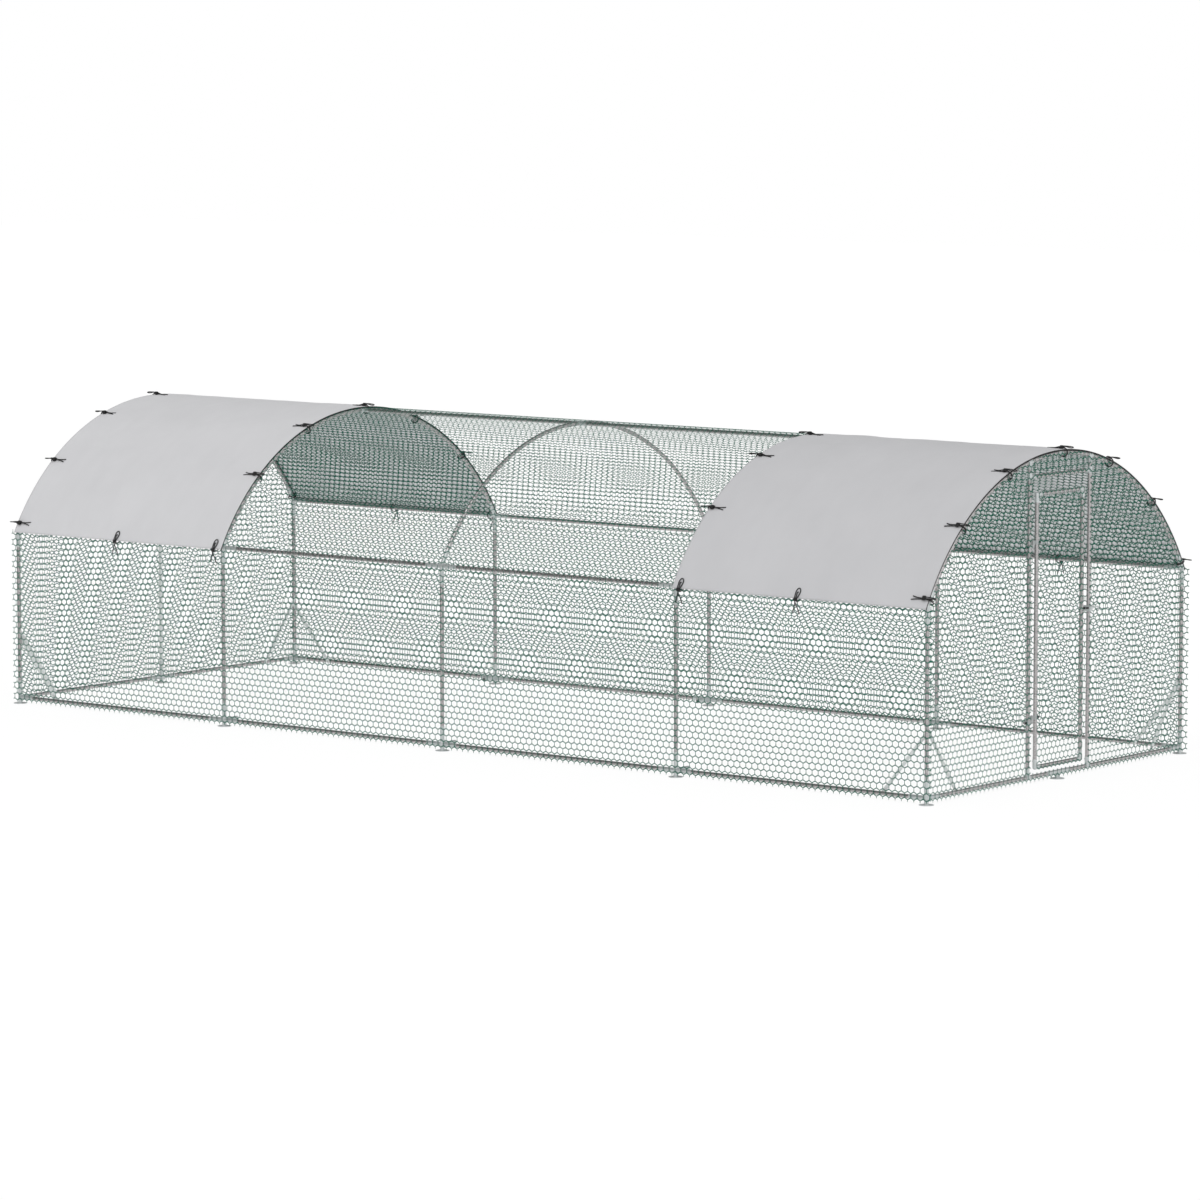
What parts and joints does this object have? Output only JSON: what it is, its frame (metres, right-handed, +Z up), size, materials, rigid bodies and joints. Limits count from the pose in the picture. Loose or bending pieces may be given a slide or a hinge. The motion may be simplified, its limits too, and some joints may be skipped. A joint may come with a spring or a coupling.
{
  "type": "walk-in chicken coop",
  "caption": "Walk-in chicken coop: tube frame with a barrel roof, hexagonal wire netting all round, cloth covers tied over the roof ends, and an end door with hinges and a slide bolt.",
  "frame": {"origin": "centre of the footprint, on the ground under the feet", "axes": "+X along the run towards the door end, +Y towards the right of someone who faces the door from outside, +Z up"},
  "size_m": [7.6068, 2.9036, 2.0422],
  "materials": {
    "galvanised_tube": "dull galvanised",
    "zinc_fitting": "bright zinc",
    "fastener": "zinc plated",
    "dark_bolt": "black oxide",
    "black_cap": "moulded",
    "coated_wire": "green plastic coat",
    "cover_cloth": "coated woven cloth",
    "tie_cord": "braided"
  },
  "bodies": {
    "frame": {"left_posts": "galvanised_tube", "right_posts": "galvanised_tube", "base_rails": "galvanised_tube", "eave_rails": "galvanised_tube", "ridge_rails": "galvanised_tube", "end_base_rails": "galvanised_tube", "rear_centre_post": "galvanised_tube", "door_jambs": "galvanised_tube", "door_lintel": "galvanised_tube", "hoop_1": "galvanised_tube", "hoop_2": "galvanised_tube", "hoop_3": "galvanised_tube", "hoop_4": "galvanised_tube", "hoop_5": "galvanised_tube", "corner_braces": "zinc_fitting", "base_corner_joints": "zinc_fitting", "base_tee_joints": "zinc_fitting", "base_centre_tees": "zinc_fitting", "eave_corner_joints": "zinc_fitting", "eave_cross_joints": "zinc_fitting", "ridge_clamps": "zinc_fitting", "jamb_base_tees": "zinc_fitting", "jamb_head_clamps": "zinc_fitting", "lintel_tees": "zinc_fitting", "foot_plates": "zinc_fitting", "hinge_brackets": "zinc_fitting", "latch_barrel": "zinc_fitting", "frame_screws": "fastener", "frame_clamp_bolts": "dark_bolt", "left_net_1": "coated_wire", "left_net_2": "coated_wire", "left_net_3": "coated_wire", "left_net_4": "coated_wire", "right_net_1": "coated_wire", "right_net_2": "coated_wire", "right_net_3": "coated_wire", "right_net_4": "coated_wire", "roof_net_1": "coated_wire", "roof_net_2": "coated_wire", "roof_net_3": "coated_wire", "roof_net_4": "coated_wire", "rear_net": "coated_wire", "front_net_left": "coated_wire", "front_net_right": "coated_wire", "transom_net": "coated_wire", "sill_net": "coated_wire", "front_cover": "cover_cloth", "rear_cover": "cover_cloth", "front_cover_ties": "tie_cord", "rear_cover_ties": "tie_cord"},
    "door": {"door_stiles": "galvanised_tube", "door_rails": "galvanised_tube", "door_elbows": "zinc_fitting", "door_screws": "fastener", "door_clamp_bolts": "dark_bolt", "hinge_eyes": "zinc_fitting", "door_net": "coated_wire"},
    "latch": {"latch_bolt": "zinc_fitting", "latch_tip": "black_cap"}
  },
  "joints": [
    {"name": "door_hinge", "type": "hinge", "parent": "frame", "child": "door", "pos_m": [3.74, -0.29, 0.9], "axis": [0, 0, -1], "range_deg": [0, 110]},
    {"name": "latch_slide", "type": "slide", "parent": "frame", "child": "latch", "axis": [0, -1, 0], "range_m": [0, 0.042]}
  ]
}
